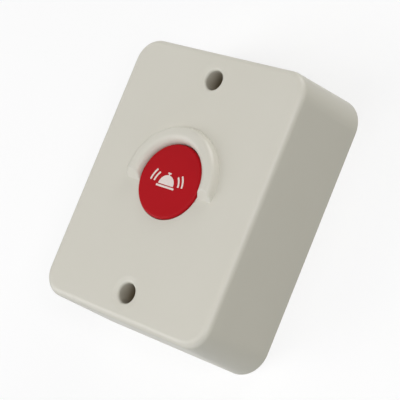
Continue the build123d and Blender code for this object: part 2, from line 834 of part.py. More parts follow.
# Antenna: a lying coil with a leg through the board at each end
antenna_radius = (antenna_diameter - antenna_wire) / 2
antenna_winding = coil_spring(
    foot=(-(antenna_length + antenna_wire) / 2, antenna_y, antenna_z),
    axis=(1, 0, 0),
    radius=antenna_radius,
    wire=antenna_wire,
    turns=antenna_turns,
    height=antenna_length + antenna_wire,
)
with BuildPart() as antenna_coil:
    add(antenna_winding.part)
    with BuildSketch(Plane.XY.offset(board_z - lead_tail)):
        with Locations((0, antenna_y)):
            with GridLocations(antenna_length, 0, 2, 1):
                Circle(antenna_wire / 2 + antenna_leg_extra)
    extrude(amount=antenna_z + antenna_diameter / 2 + antenna_leg_extra - board_z + lead_tail)
finish(antenna_coil, "antenna_coil")
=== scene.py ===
import math
import bmesh
import bpy
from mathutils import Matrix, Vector


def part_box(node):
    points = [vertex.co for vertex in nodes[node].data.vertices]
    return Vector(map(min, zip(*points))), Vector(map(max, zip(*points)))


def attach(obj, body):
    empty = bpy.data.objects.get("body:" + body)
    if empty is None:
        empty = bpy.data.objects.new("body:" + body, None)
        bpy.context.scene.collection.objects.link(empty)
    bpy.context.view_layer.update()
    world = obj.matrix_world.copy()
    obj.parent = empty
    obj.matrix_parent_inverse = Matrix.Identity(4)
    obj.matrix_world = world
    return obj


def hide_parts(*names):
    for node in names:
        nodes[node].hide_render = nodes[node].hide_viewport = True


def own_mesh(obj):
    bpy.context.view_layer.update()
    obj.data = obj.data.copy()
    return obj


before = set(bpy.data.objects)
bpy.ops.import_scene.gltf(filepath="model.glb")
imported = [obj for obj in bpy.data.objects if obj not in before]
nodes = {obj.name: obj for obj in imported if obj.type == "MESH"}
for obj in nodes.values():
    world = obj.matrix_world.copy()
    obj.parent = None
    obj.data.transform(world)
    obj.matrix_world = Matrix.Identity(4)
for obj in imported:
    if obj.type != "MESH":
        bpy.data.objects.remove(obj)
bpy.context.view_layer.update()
scene = bpy.context.scene
mm = 0.001  # the model is in metres
hair = 0.005 * mm  # keeps a mask's edge off the face that it follows
weld = 0.001 * mm  # points nearer than this are merged
smoothAngle = math.radians(50)  # sharper edges than this stay crisp


def say(stage):
    print("stage:", stage)


def corners(node):
    return [Vector(corner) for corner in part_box(node)]


def middle(node):
    low, high = corners(node)
    return (low + high) / 2


# Camera, floor and lamps

cameraSet = dict(
    lens=125.44,
    sensor=36.0,
    place=(0.2705, -0.03486, 0.33522),
    turn=(21.575, 34.863, 27.253),  # degrees about X, Y and Z
)


def addCamera(settings):
    bpy.ops.object.camera_add(
        location=settings["place"],
        rotation=[math.radians(angle) for angle in settings["turn"]],
    )
    camera = bpy.context.object
    camera.name = "studio_camera"
    camera.data.sensor_width = settings["sensor"]
    camera.data.lens = settings["lens"]
    scene.camera = camera


def linear(hexColour):
    # sRGB hex to the linear values that the shaders take
    channels = [int(hexColour[i:i + 2], 16) / 255 for i in (1, 3, 5)]
    return [c / 12.92 if c <= 0.04045 else ((c + 0.055) / 1.055) ** 2.4 for c in channels] + [1.0]


def addNode(owner, kind, settings=None, links=None):
    # settings go to the node's own properties or sockets, links come from other nodes' outputs
    node = owner.node_tree.nodes.new(kind)
    for name, value in (settings or {}).items():
        if isinstance(name, int) or name in node.inputs:
            node.inputs[name].default_value = value
        else:
            setattr(node, name, value)
    for name, source in (links or {}).items():
        owner.node_tree.links.new(source, node.inputs[name])
    return node


def newMaterial(name):
    material = bpy.data.materials.new(name)
    material.use_nodes = True
    material.node_tree.nodes.clear()
    return material


def seenDirectly(owner):
    # 1 where the camera looks straight at it, in a gloss or through something clear
    path = addNode(owner, "ShaderNodeLightPath")
    seen = path.outputs["Is Camera Ray"]
    for ray in ("Is Glossy Ray", "Is Transmission Ray"):
        seen = addNode(owner, "ShaderNodeMath", {"operation": "MAXIMUM"},
                       {0: seen, 1: path.outputs[ray]}).outputs[0]
    return seen


floorSet = dict(
    size=6.0,
    card="#FFFFFF",
    bounce="#8B8A7C",  # what the card throws back on to the object, as warm as the room's light
    glow=0.72,  # share of the card's white that no shadow dims
)


def addFloor(settings):
    bpy.ops.mesh.primitive_plane_add(size=settings["size"], location=(0, 0, 0))
    floor = bpy.context.object
    floor.name = "studio_floor"
    card = newMaterial("matt white card")
    seen = seenDirectly(card)
    share = addNode(card, "ShaderNodeMath", {"operation": "MULTIPLY", 1: settings["glow"]}, {0: seen})
    tone = addNode(card, "ShaderNodeMixRGB",
                   {"Color1": linear(settings["bounce"]), "Color2": linear(settings["card"])},
                   {"Fac": seen})
    diffuse = addNode(card, "ShaderNodeBsdfDiffuse", links={"Color": tone.outputs[0]})
    white = addNode(card, "ShaderNodeEmission", {"Strength": 1.0})
    mix = addNode(card, "ShaderNodeMixShader",
                  links={0: share.outputs[0], 1: diffuse.outputs[0], 2: white.outputs[0]})
    addNode(card, "ShaderNodeOutputMaterial", links={"Surface": mix.outputs[0]})
    floor.data.materials.append(card)


lampSet = dict(
    size=0.6, reach=1.2,
    lamps=dict(  # which way each stands from the object, and its power
        lowFar=dict(toward=(0.2, 0.97, 0.14), power=8.6),
        midLeft=dict(toward=(-0.8, 0.33, 0.5), power=0.9),
        nearLeft=dict(toward=(-0.7, -0.5, 0.5), power=4.0),
        lowNearRight=dict(toward=(0.75, -0.65, 0.14), power=2.0),
        lowNear=dict(toward=(0.15, -0.98, 0.14), power=1.9, tint="#DDEAFF"),  # cooler than the others
        midNearRight=dict(toward=(0.8, -0.33, 0.5), power=0.7),
        highRight=dict(toward=(0.64, 0, 0.77), power=5.6),
        highNearLeft=dict(toward=(-0.45, -0.45, 0.77), power=1.8),
        top=dict(toward=(-0.1, -0.25, 0.96), power=3.35),
    ),
)


def addLamps(settings):
    for name, own in settings["lamps"].items():
        aim = Vector(own["toward"]).normalized()
        bpy.ops.object.light_add(type="AREA", location=aim * settings["reach"])
        lamp = bpy.context.object
        lamp.name = name
        lamp.rotation_euler = aim.to_track_quat("Z", "Y").to_euler()
        lamp.data.size = settings["size"]
        lamp.data.energy = own["power"]
        lamp.data.color = linear(own.get("tint", "#FFFFFF"))[:3]


worldSet = dict(sky="#FFFFFF", strength=0.02)


def addWorld(settings):
    world = bpy.data.worlds.new("studio")
    scene.world = world
    world.use_nodes = True
    world.node_tree.nodes.clear()
    strength = addNode(world, "ShaderNodeMapRange", {"To Min": settings["strength"], "To Max": 1.0},
                       {"Value": seenDirectly(world)})
    sky = addNode(world, "ShaderNodeBackground", {"Color": linear(settings["sky"])},
                  {"Strength": strength.outputs[0]})
    addNode(world, "ShaderNodeOutputWorld", links={"Surface": sky.outputs[0]})


addCamera(cameraSet)
addFloor(floorSet)
addWorld(worldSet)
addLamps(lampSet)
scene.view_settings.view_transform = "Standard"
say("studio")


# Finishes. Each starts from the same layers and then gets what its real surface adds

def startFinish(name, settings):
    # two close tones in soft clouds, a roughness that follows them, and a fine relief
    material = newMaterial(name)
    place = addNode(material, "ShaderNodeTexCoord").outputs["Object"]
    cloud = addNode(material, "ShaderNodeTexNoise", {"Scale": 1 / settings["cloud"], "Detail": 3.0},
                    {"Vector": place})
    tone = addNode(material, "ShaderNodeMixRGB",
                   {"Color1": linear(settings["tone"]), "Color2": linear(settings["drift"])},
                   {"Fac": cloud.outputs["Fac"]})
    rough = addNode(material, "ShaderNodeMapRange",
                    {"To Min": settings["roughness"][0], "To Max": settings["roughness"][1]},
                    {"Value": cloud.outputs["Fac"]})
    lay = addNode(material, "ShaderNodeMapping", {"Scale": settings.get("lay", (1, 1, 1))}, {"Vector": place})
    grain = addNode(material, "ShaderNodeTexNoise", {"Scale": 1 / settings["grain"], "Detail": 2.0},
                    {"Vector": lay.outputs["Vector"]})
    relief = addNode(material, "ShaderNodeBump", {"Distance": settings["depth"]},
                     {"Height": grain.outputs["Fac"]})
    shader = addNode(material, "ShaderNodeBsdfPrincipled", settings["shader"],
                     {"Base Color": tone.outputs["Color"], "Roughness": rough.outputs["Result"],
                      "Normal": relief.outputs["Normal"]})
    addNode(material, "ShaderNodeOutputMaterial", links={"Surface": shader.outputs["BSDF"]})
    return material, place, shader


def addBetween(material, socket, kind, under, settings, links):
    # a node between a socket and what fed it, which the new node takes in at its input called under
    node = addNode(material, kind, settings, {under: socket.links[0].from_socket, **links})
    material.node_tree.links.new(node.outputs[0], socket)


def addTone(material, shader, mask, tone):
    # another colour where the mask is 1
    addBetween(material, shader.inputs["Base Color"], "ShaderNodeMixRGB", "Color1",
               {"Color2": linear(tone)}, {"Fac": mask})


def addOverlay(material, shader, mask, tone, roughness, metallic=0.0):
    # another surface where the mask is 1
    addTone(material, shader, mask, tone)
    for name, value in (("Roughness", roughness), ("Metallic", metallic)):
        socket = shader.inputs[name]
        if not socket.is_linked and socket.default_value == value:
            continue
        blend = addNode(material, "ShaderNodeMapRange", {"To Min": socket.default_value, "To Max": value},
                        {"Value": mask})
        if socket.is_linked:
            material.node_tree.links.new(socket.links[0].from_socket, blend.inputs["To Min"])
        material.node_tree.links.new(blend.outputs["Result"], socket)


def addRelief(material, shader, height, depth):
    # one more layer of relief over what is there
    addBetween(material, shader.inputs["Normal"], "ShaderNodeBump", "Normal",
               {"Distance": depth}, {"Height": height})


def waveScale(pitch):
    return math.pi / 10 / pitch  # at scale 1 the wave texture repeats every tenth of pi


def addRings(material, shader, place, settings):
    # fine rings round the upright axis through the origin of place
    rings = addNode(material, "ShaderNodeTexWave",
                    {"wave_type": "RINGS", "rings_direction": "Z", "Scale": waveScale(settings["ringPitch"]),
                     "Distortion": settings["ringWobble"]},
                    {"Vector": place})
    addRelief(material, shader, rings.outputs["Fac"], settings["ringDepth"])


def pastPlane(material, place, normal, distance):
    # 1 beyond a plane that is given by its normal and its distance from the origin
    along = addNode(material, "ShaderNodeVectorMath", {"operation": "DOT_PRODUCT", 1: normal}, {0: place})
    return addNode(material, "ShaderNodeMath", {"operation": "GREATER_THAN", 1: distance},
                   {0: along.outputs["Value"]}).outputs[0]


def fromMiddle(material, place, centre, directions):
    # how far a place lies from a centre, counted only in the given directions
    shift = addNode(material, "ShaderNodeVectorMath", {"operation": "SUBTRACT", 1: centre}, {0: place})
    flat = addNode(material, "ShaderNodeVectorMath", {"operation": "MULTIPLY", 1: directions},
                   {0: shift.outputs["Vector"]})
    return addNode(material, "ShaderNodeVectorMath", {"operation": "LENGTH"},
                   {0: flat.outputs["Vector"]}).outputs["Value"]


def dress(material, *names):
    for name in names:
        nodes[name].data.materials.clear()
        nodes[name].data.materials.append(material)


# Spark-eroded mould, so a satin face with a fine even grain and a soft shine at low angles
ivorySet = dict(
    tone="#D1CEC3", drift="#CECBBF", cloud=18 * mm, roughness=(0.37, 0.45),
    grain=0.3 * mm, depth=0.006 * mm,  # drawn coarser than the real 0.1 mm
    shader={"IOR": 1.54, "Specular IOR Level": 0.45},
    # painted shade in the two screw wells browns their walls, more so the deeper they are
    wellShade="#6B5426", wellShadeDepth=(0.2 * mm, 7.5 * mm), wellShadeShare=0.85, wellShadeRoughness=0.8,
    wellRadius=3.4 * mm, wellSpan=68 * mm, wellTop=28.7 * mm, wellFloor=5.0 * mm,
)


def sparkErodedAbs(settings):
    material, place, shader = startFinish("ivory spark-eroded ABS", settings)
    # both wells at once, because they stand evenly about the middle
    folded = addNode(material, "ShaderNodeVectorMath", {"operation": "ABSOLUTE"}, {0: place})
    radius = fromMiddle(material, folded.outputs["Vector"], (0, settings["wellSpan"] / 2, 0), (1, 1, 0))
    near = addNode(material, "ShaderNodeMath", {"operation": "LESS_THAN", 1: settings["wellRadius"]},
                   {0: radius})
    inWell = addNode(material, "ShaderNodeMath", {"operation": "MULTIPLY"},
                     {0: near.outputs[0], 1: pastPlane(material, place, (0, 0, 1), settings["wellFloor"])})
    parts = addNode(material, "ShaderNodeSeparateXYZ", links={"Vector": place})
    # painted shade: the wells' walls are browned and made matt more the deeper they go
    shallow, deep = settings["wellShadeDepth"]
    paintedShade = addNode(material, "ShaderNodeMapRange",
                    {"From Min": settings["wellTop"] - shallow, "From Max": settings["wellTop"] - deep,
                     "To Max": settings["wellShadeShare"]},
                    {"Value": parts.outputs["Z"]})
    mask = addNode(material, "ShaderNodeMath", {"operation": "MULTIPLY"},
                   {0: inWell.outputs[0], 1: paintedShade.outputs["Result"]})
    addOverlay(material, shader, mask.outputs[0], settings["wellShade"], settings["wellShadeRoughness"])
    return material


# Finer mould than the case, and fingers polish the middle of its top
redSet = dict(
    tone="#AD0413", drift="#A60311", cloud=9 * mm, roughness=(0.42, 0.5),
    grain=0.25 * mm, depth=0.004 * mm,  # drawn coarser than the real 0.05 mm
    shader={"IOR": 1.54, "Specular IOR Level": 0.12},
    polished=0.34, polishRadius=9 * mm,
)


def fingerPolishedAbs(settings):
    material, place, shader = startFinish("red moulded ABS", settings)
    radius = fromMiddle(material, place, middle("button_cap"), (1, 1, 0))
    addBetween(material, shader.inputs["Roughness"], "ShaderNodeMapRange", "To Max",
               {"interpolation_type": "SMOOTHSTEP", "From Max": settings["polishRadius"],
                "To Min": settings["polished"]},
               {"Value": radius})
    return material


# Zinc plate over turned heads: pale bluish metal with fine rings round each screw's axis
zincSet = dict(
    tone="#C6CACF", drift="#B4BAC2", cloud=1.5 * mm, roughness=(0.26, 0.42),
    grain=0.2 * mm, depth=0.004 * mm,
    shader={"Metallic": 1.0},
    ringPitch=0.16 * mm, ringDepth=0.004 * mm, ringWobble=0.4,  # drawn coarser than real rings
)


def zincPlatedSteel(name, node, settings):
    material, place, shader = startFinish(name, settings)
    high = corners(node)[1]
    radius = settings["head"] / 2
    # the four screws stand evenly about the middle, so one axis serves them all
    folded = addNode(material, "ShaderNodeVectorMath", {"operation": "ABSOLUTE"}, {0: place})
    shift = addNode(material, "ShaderNodeVectorMath",
                    {"operation": "SUBTRACT", 1: (high.x - radius, high.y - radius, 0)},
                    {0: folded.outputs["Vector"]})
    addRings(material, shader, shift.outputs["Vector"], settings)
    return material


# Drawn steel wire: dark grey metal with lengthwise die marks and a trace of oil
springSet = dict(
    tone="#9A9892", drift="#807D77", cloud=2 * mm, roughness=(0.24, 0.4),
    grain=0.12 * mm, lay=(1, 1, 6), depth=0.004 * mm,  # drawn coarser than real marks
    shader={"Metallic": 1.0, "Anisotropic": 0.5},
)


def drawnSpringWire(settings):
    material, _, shader = startFinish("drawn spring steel wire", settings)
    around = addNode(material, "ShaderNodeTangent", {"direction_type": "RADIAL", "axis": "Z"})
    material.node_tree.links.new(around.outputs["Tangent"], shader.inputs["Tangent"])
    return material


# Rolled and nickel-plated strip: warm white metal with fine marks from the rolls
nickelStripSet = dict(
    tone="#C9C3B6", drift="#B8B1A2", cloud=2 * mm, roughness=(0.2, 0.34),
    grain=0.1 * mm, lay=(1, 8, 1), depth=0.003 * mm,
    shader={"Metallic": 1.0},
)

# Paper-based fibre pressed in layers: dull oxide red with short pale fibres
fibreSet = dict(
    tone="#6E2A1C", drift="#7C3626", cloud=3 * mm, roughness=(0.6, 0.75),
    grain=0.35 * mm, lay=(1, 0.35, 3), depth=0.02 * mm,
    shader={"IOR": 1.5},
    strand=0.5 * mm, strandTone="#8F4A37",  # a fibre's length; drawn a quarter as wide, thicker than real
)


def vulcanisedFibre(settings):
    material, place, shader = startFinish("vulcanised fibre sheet", settings)
    turned = addNode(material, "ShaderNodeMapping", {"Scale": (4, 1, 1), "Rotation": (0, 0, 0.6)},
                     {"Vector": place})
    strands = addNode(material, "ShaderNodeTexNoise", {"Scale": 1 / settings["strand"], "Detail": 1.0},
                      {"Vector": turned.outputs["Vector"]})
    pale = addNode(material, "ShaderNodeMapRange", {"From Min": 0.6, "From Max": 0.72, "To Max": 0.6},
                   {"Value": strands.outputs["Fac"]})
    addTone(material, shader, pale.outputs["Result"], settings["strandTone"])
    return material


# Nylon from a lightly blasted mould: near black, with a soft sheen and faint flow streaks
nylonSet = dict(
    tone="#1A1A1C", drift="#222225", cloud=5 * mm, roughness=(0.4, 0.56),
    grain=0.22 * mm, depth=0.006 * mm,  # drawn coarser than the real 0.1 mm
    shader={"IOR": 1.53},
    streak=1.2 * mm, streakDepth=0.01 * mm,
)


def mouldedNylon(settings):
    material, place, shader = startFinish("black moulded nylon", settings)
    flow = addNode(material, "ShaderNodeMapping", {"Scale": (0.25, 1, 1)}, {"Vector": place})
    streaks = addNode(material, "ShaderNodeTexNoise", {"Scale": 1 / settings["streak"], "Distortion": 0.8},
                      {"Vector": flow.outputs["Vector"]})
    addRelief(material, shader, streaks.outputs["Fac"], settings["streakDepth"])
    return material


# Acetal is milky and slippery: light goes a little way in and the surface shines softly
acetalSet = dict(
    tone="#E9E8E2", drift="#E2E1DA", cloud=3 * mm, roughness=(0.26, 0.36),
    grain=0.2 * mm, depth=0.003 * mm,  # drawn coarser than the real 0.05 mm
    shader={"IOR": 1.48, "Subsurface Weight": 0.25, "Subsurface Radius": (1.0, 0.95, 0.85),
            "Subsurface Scale": 0.6 * mm},
)

# Silver flash over brass: pale metal that goes yellow where the contacts have rubbed
contactSet = dict(
    tone="#D8D3C4", drift="#CFC6AE", cloud=1.2 * mm, roughness=(0.18, 0.32),
    grain=0.08 * mm, depth=0.002 * mm,
    shader={"Metallic": 1.0},
    rubbed="#C9A557", rubSize=0.9 * mm,
)


def silverFlashedBrass(settings):
    material, place, shader = startFinish("silver-flashed brass", settings)
    rub = addNode(material, "ShaderNodeTexNoise", {"Scale": 1 / settings["rubSize"], "Detail": 4.0},
                  {"Vector": place})
    worn = addNode(material, "ShaderNodeMapRange", {"From Min": 0.54, "From Max": 0.66},
                   {"Value": rub.outputs["Fac"]})
    addTone(material, shader, worn.outputs["Result"], settings["rubbed"])
    return material


# Green solder mask, glossy and slightly wavy, over glass cloth that shows at the cut edges
boardSet = dict(
    tone="#17512C", drift="#1C5A33", cloud=12 * mm, roughness=(0.24, 0.36),
    grain=1.4 * mm, depth=0.012 * mm,
    shader={"IOR": 1.5},
    edge="#B7B183", edgeRoughness=0.7, layer=0.2 * mm,
    weave=0.5 * mm, weaveDepth=0.002 * mm,  # the cloth's threads print through as a faint relief
)


def solderMaskedLaminate(settings):
    material, place, shader = startFinish("green solder mask on glass epoxy", settings)
    for direction in ("X", "Y"):
        threads = addNode(material, "ShaderNodeTexWave",
                          {"bands_direction": direction, "Scale": waveScale(settings["weave"])},
                          {"Vector": place})
        addRelief(material, shader, threads.outputs["Fac"], settings["weaveDepth"])
    # a face is a cut edge where it looks less up or down than sideways
    facing = addNode(material, "ShaderNodeTexCoord").outputs["Normal"]
    upright = addNode(material, "ShaderNodeVectorMath", {"operation": "ABSOLUTE"}, {0: facing})
    parts = addNode(material, "ShaderNodeSeparateXYZ", links={"Vector": upright.outputs["Vector"]})
    side = addNode(material, "ShaderNodeMath", {"operation": "LESS_THAN", 1: 0.5}, {0: parts.outputs["Z"]})
    layers = addNode(material, "ShaderNodeTexWave",
                     {"bands_direction": "Z", "Scale": waveScale(settings["layer"]), "Distortion": 1.0},
                     {"Vector": place})
    addOverlay(material, shader, side.outputs[0], settings["edge"], settings["edgeRoughness"])
    addRelief(material, shader, layers.outputs["Fac"], settings["weaveDepth"])
    return material


# Steel can in a shrunk film jacket: dark satin film with one plain band, bare bright ends
cellSet = dict(
    tone="#3A3C40", drift="#404247", cloud=8 * mm, roughness=(0.26, 0.36),
    grain=0.5 * mm, lay=(0.3, 1, 1), depth=0.004 * mm,
    shader={"IOR": 1.5},
    band="#B8923C", bandRoughness=0.3, bandMetallic=0.6, bandStart=6.0 * mm, bandWidth=4.5 * mm,
    metal="#C8C4BA", metalRoughness=0.28, jacketRadius=3.55 * mm,
)


def filmJacketedCan(settings):
    material, place, shader = startFinish("film-jacketed steel can", settings)
    end = corners("battery_cell")[1].x
    start = pastPlane(material, place, (1, 0, 0), end - settings["bandStart"] - settings["bandWidth"])
    stop = pastPlane(material, place, (-1, 0, 0), settings["bandStart"] - end)
    band = addNode(material, "ShaderNodeMath", {"operation": "MULTIPLY"}, {0: start, 1: stop})
    addOverlay(material, shader, band.outputs[0], settings["band"], settings["bandRoughness"],
               settings["bandMetallic"])
    radius = fromMiddle(material, place, middle("battery_cell"), (0, 1, 1))
    bare = addNode(material, "ShaderNodeMath", {"operation": "LESS_THAN", 1: settings["jacketRadius"]},
                   {0: radius})
    addOverlay(material, shader, bare.outputs[0], settings["metal"], settings["metalRoughness"], 1.0)
    return material


# Moulded epoxy is dull and sandy from its filler, the legs are bright tin
epoxySet = dict(
    tone="#1D1D1F", drift="#252527", cloud=2 * mm, roughness=(0.55, 0.7),
    grain=0.12 * mm, depth=0.008 * mm,  # drawn coarser than the real 0.03 mm
    shader={"IOR": 1.55},
    tin="#C7C7C4", tinRoughness=0.3,
)
transistorSet = dict(epoxySet, width=2.5 * mm)
# The chip also has a moulded dimple beside its first leg
chipSet = dict(
    epoxySet, width=6.2 * mm, length=10 * mm,
    dimpleRadius=0.5 * mm, dimpleFlat=0.6, dimpleInset=1.3 * mm, dimpleDepth=0.12 * mm,
)


def mouldedEpoxy(name, node, settings):
    material, place, shader = startFinish(name, settings)
    across = fromMiddle(material, place, middle(node), (1, 0, 0))
    legs = addNode(material, "ShaderNodeMath",
                   {"operation": "GREATER_THAN", 1: settings["width"] / 2 + hair}, {0: across})
    addOverlay(material, shader, legs.outputs[0], settings["tin"], settings["tinRoughness"], 1.0)
    if "dimpleRadius" in settings:
        corner = middle(node) + Vector((settings["dimpleInset"] - settings["width"] / 2,
                                        settings["length"] / 2 - settings["dimpleInset"], 0))
        radius = fromMiddle(material, place, corner, (1, 1, 0))
        dish = addNode(material, "ShaderNodeMapRange",
                       {"interpolation_type": "SMOOTHSTEP", "From Max": settings["dimpleRadius"],
                        "From Min": settings["dimpleRadius"] * settings["dimpleFlat"]},
                       {"Value": radius})
        addRelief(material, shader, dish.outputs["Result"], settings["dimpleDepth"])
    return material


# Drawn can with a bright nickel plate, a little cloudy, with faint rings from the draw
nickelCanSet = dict(
    tone="#BFBAB0", drift="#ADA79B", cloud=2.5 * mm, roughness=(0.18, 0.3),
    grain=0.15 * mm, depth=0.003 * mm,
    shader={"Metallic": 1.0},
    ringPitch=0.3 * mm, ringDepth=0.004 * mm, ringWobble=0.6,  # drawn coarser than real rings
)


def nickelPlatedCan(settings):
    material, place, shader = startFinish("nickel-plated drawn can", settings)
    shift = addNode(material, "ShaderNodeVectorMath", {"operation": "SUBTRACT", 1: middle("resonator_can")},
                    {0: place})
    addRings(material, shader, shift.outputs["Vector"], settings)
    return material


# Soft bright aluminium with fine upright drawing marks, a black printed segment and a black foot
aluminiumSet = dict(
    tone="#D3D5D6", drift="#C6C8CA", cloud=2 * mm, roughness=(0.22, 0.34),
    grain=0.12 * mm, lay=(1, 1, 0.15), depth=0.004 * mm,  # drawn coarser than real marks
    shader={"Metallic": 1.0},
    foot="#1C1C1E", footRoughness=0.5, footHeight=0.81 * mm,
    segment="#1A1A1C", segmentRoughness=0.45, segmentStart=1.6 * mm, segmentDepth=0.1 * mm,
)


def drawnAluminiumCan(settings):
    material, place, shader = startFinish("drawn aluminium can", settings)
    low, high = corners("storage_capacitor")
    left = pastPlane(material, place, (-1, 0, 0), settings["segmentStart"] - middle("storage_capacitor").x)
    top = pastPlane(material, place, (0, 0, 1), high.z - settings["segmentDepth"])
    segment = addNode(material, "ShaderNodeMath", {"operation": "MULTIPLY"}, {0: left, 1: top})
    addOverlay(material, shader, segment.outputs[0], settings["segment"], settings["segmentRoughness"])
    foot = pastPlane(material, place, (0, 0, -1), -low.z - settings["footHeight"])
    addOverlay(material, shader, foot, settings["foot"], settings["footRoughness"])
    return material


# Fired ceramic base, dull and brown, under a bright brass rotor
trimmerSet = dict(
    tone="#8A5A2E", drift="#7D5029", cloud=2 * mm, roughness=(0.45, 0.6),
    grain=0.2 * mm, depth=0.006 * mm,  # drawn coarser than the real 0.05 mm
    shader={"IOR": 1.6},
    rotor="#CDB06A", rotorRoughness=0.28, rotorHeight=1.0 * mm,
)


def ceramicAndBrass(settings):
    material, place, shader = startFinish("fired ceramic with a brass rotor", settings)
    base = corners("trimmer_capacitor")[1].z - settings["rotorHeight"]
    rotor = pastPlane(material, place, (0, 0, 1), base - hair)
    addOverlay(material, shader, rotor, settings["rotor"], settings["rotorRoughness"], 1.0)
    return material


# White ceramic under a black glazed film, with tinned ends
resistorSet = dict(
    tone="#E4E1D8", drift="#DAD7CD", cloud=1.5 * mm, roughness=(0.5, 0.6),
    grain=0.1 * mm, depth=0.004 * mm,  # drawn coarser than the real 0.02 mm
    shader={"IOR": 1.55},
    pitch=5.0 * mm, length=3.2 * mm, end=0.5 * mm,
    film="#17171A", filmRoughness=0.22, filmThickness=0.12 * mm,
    tin="#C9C9C6", tinRoughness=0.3,
)
# Buff barium ceramic all through, with tinned ends
ceramicSet = dict(
    resistorSet, tone="#B08B62", drift="#A67F57", length=2.0 * mm, film="#B08B62",
    filmRoughness=0.4,
)


def tinnedEnds(name, node, settings):
    material, place, shader = startFinish(name, settings)
    film = pastPlane(material, place, (0, 0, 1), corners(node)[1].z - settings["filmThickness"])
    addOverlay(material, shader, film, settings["film"], settings["filmRoughness"])
    # the parts stand a pitch apart, so the distance to the nearest one's middle folds back every half pitch
    parts = addNode(material, "ShaderNodeSeparateXYZ", links={"Vector": place})
    shift = addNode(material, "ShaderNodeMath", {"operation": "SUBTRACT", 1: settings["pitch"] / 2},
                    {0: parts.outputs["X"]})
    along = addNode(material, "ShaderNodeMath", {"operation": "PINGPONG", 1: settings["pitch"] / 2},
                    {0: shift.outputs[0]})
    ends = addNode(material, "ShaderNodeMath",
                   {"operation": "GREATER_THAN", 1: settings["length"] / 2 - settings["end"]},
                   {0: along.outputs[0]})
    addOverlay(material, shader, ends.outputs[0], settings["tin"], settings["tinRoughness"], 1.0)
    return material


# Copper under clear enamel: deep orange metal with a wet coat, tinned where it is soldered
copperSet = dict(
    tone="#B5622F", drift="#A85627", cloud=3 * mm, roughness=(0.24, 0.34),
    grain=0.2 * mm, depth=0.003 * mm,
    shader={"Metallic": 1.0, "Coat Weight": 0.7, "Coat Roughness": 0.08, "Coat IOR": 1.55},
    tin="#C7C7C4", tinRoughness=0.3,
)


def enamelledCopper(settings):
    material, place, shader = startFinish("enamelled copper wire", settings)
    below = pastPlane(material, place, (0, 0, -1), -corners("circuit_board")[1].z)
    addOverlay(material, shader, below, settings["tin"], settings["tinRoughness"], 1.0)
    return material


dress(sparkErodedAbs(ivorySet), "front_cover", "base_plate")
dress(fingerPolishedAbs(redSet), "button_cap")
dress(zincPlatedSteel("zinc-plated countersunk screws", "cover_screws", dict(zincSet, head=5.0 * mm)),
      "cover_screws")
dress(zincPlatedSteel("zinc-plated round-head screws", "board_screws", dict(zincSet, head=4.0 * mm)),
      "board_screws")
dress(drawnSpringWire(springSet), "return_spring", "switch_spring")
dress(startFinish("nickel-plated spring strip", nickelStripSet)[0], "battery_spring", "battery_contact")
dress(vulcanisedFibre(fibreSet), "spring_washer")
dress(mouldedNylon(nylonSet), "switch_base", "switch_housing", "battery_holder")
dress(startFinish("white moulded acetal", acetalSet)[0], "switch_plunger")
dress(silverFlashedBrass(contactSet), "switch_bridge", "switch_terminals")
dress(solderMaskedLaminate(boardSet), "circuit_board")
dress(filmJacketedCan(cellSet), "battery_cell")
dress(mouldedEpoxy("moulded epoxy with a first-leg dimple", "encoder_chip", chipSet), "encoder_chip")
dress(mouldedEpoxy("moulded epoxy with tinned legs", "rf_transistor", transistorSet), "rf_transistor")
dress(nickelPlatedCan(nickelCanSet), "resonator_can")
dress(drawnAluminiumCan(aluminiumSet), "storage_capacitor")
dress(ceramicAndBrass(trimmerSet), "trimmer_capacitor")
dress(tinnedEnds("glazed film on white ceramic", "resistors", resistorSet), "resistors")
dress(tinnedEnds("buff ceramic with tinned ends", "ceramic_capacitors", ceramicSet), "ceramic_capacitors")
dress(enamelledCopper(copperSet), "antenna_coil")
say("materials")


# Modelling by hand: pick by place, then use Blender's own tools

def pick(kind, test):
    # in edit mode, selects the edges or vertices whose middle passes the test
    mesh = bmesh.from_edit_mesh(bpy.context.object.data)
    bpy.ops.mesh.select_mode(type=kind)
    bpy.ops.mesh.select_all(action="DESELECT")
    for item in {"VERT": mesh.verts, "EDGE": mesh.edges}[kind]:
        points = [item.co] if kind == "VERT" else [vertex.co for vertex in item.verts]
        item.select_set(bool(test(sum(points, Vector()) / len(points))))
    bmesh.update_edit_mesh(bpy.context.object.data)


def pickAll():
    bpy.ops.mesh.select_all(action="SELECT")


def deselectAll():
    bpy.ops.object.select_all(action="DESELECT")


def extrudeBy(x, y, z):
    bpy.ops.mesh.extrude_region_move(TRANSFORM_OT_translate={"value": (x, y, z)})


def applyPlace():
    bpy.ops.object.transform_apply(location=True, rotation=True, scale=True)


def startEdit():
    applyPlace()
    bpy.ops.object.mode_set(mode="EDIT")
    pickAll()


def endEdit():
    bpy.ops.object.mode_set(mode="OBJECT")
    return bpy.context.object


def joinPieces(pieces, name):
    # makes one mesh of them and leaves it in edit mode, with its seams closed
    deselectAll()
    for piece in pieces:
        piece.select_set(True)
    bpy.context.view_layer.objects.active = pieces[0]
    if len(pieces) > 1:
        bpy.ops.object.join()
    piece = bpy.context.object
    piece.name = piece.data.name = name
    startEdit()
    bpy.ops.mesh.remove_doubles(threshold=weld)
    return piece


# Call sign on the button: a counter bell that rings to both sides, printed in white
signSet = dict(
    middle=(-0.7 * mm, 1.1 * mm),
    stroke=0.6 * mm,
    domeRadius=3.0 * mm, domePoints=50,
    stem=0.3 * mm, shoulder=0.12 * mm, knobWidth=1.3 * mm, knobHeight=0.42 * mm,
    gap=0.32 * mm, footWidth=7.2 * mm, footHeight=0.6 * mm, footCornerSteps=4,
    arcs=((4.85 * mm, 4, 42), (6.3 * mm, 4, 38)),  # radius, first and last angle
    arcStart=0.1, arcSteps=14, arcCornerSteps=3,  # the spun strip starts this share of a stroke long
    corner=0.2 * mm,
    ink=0.04 * mm,
)

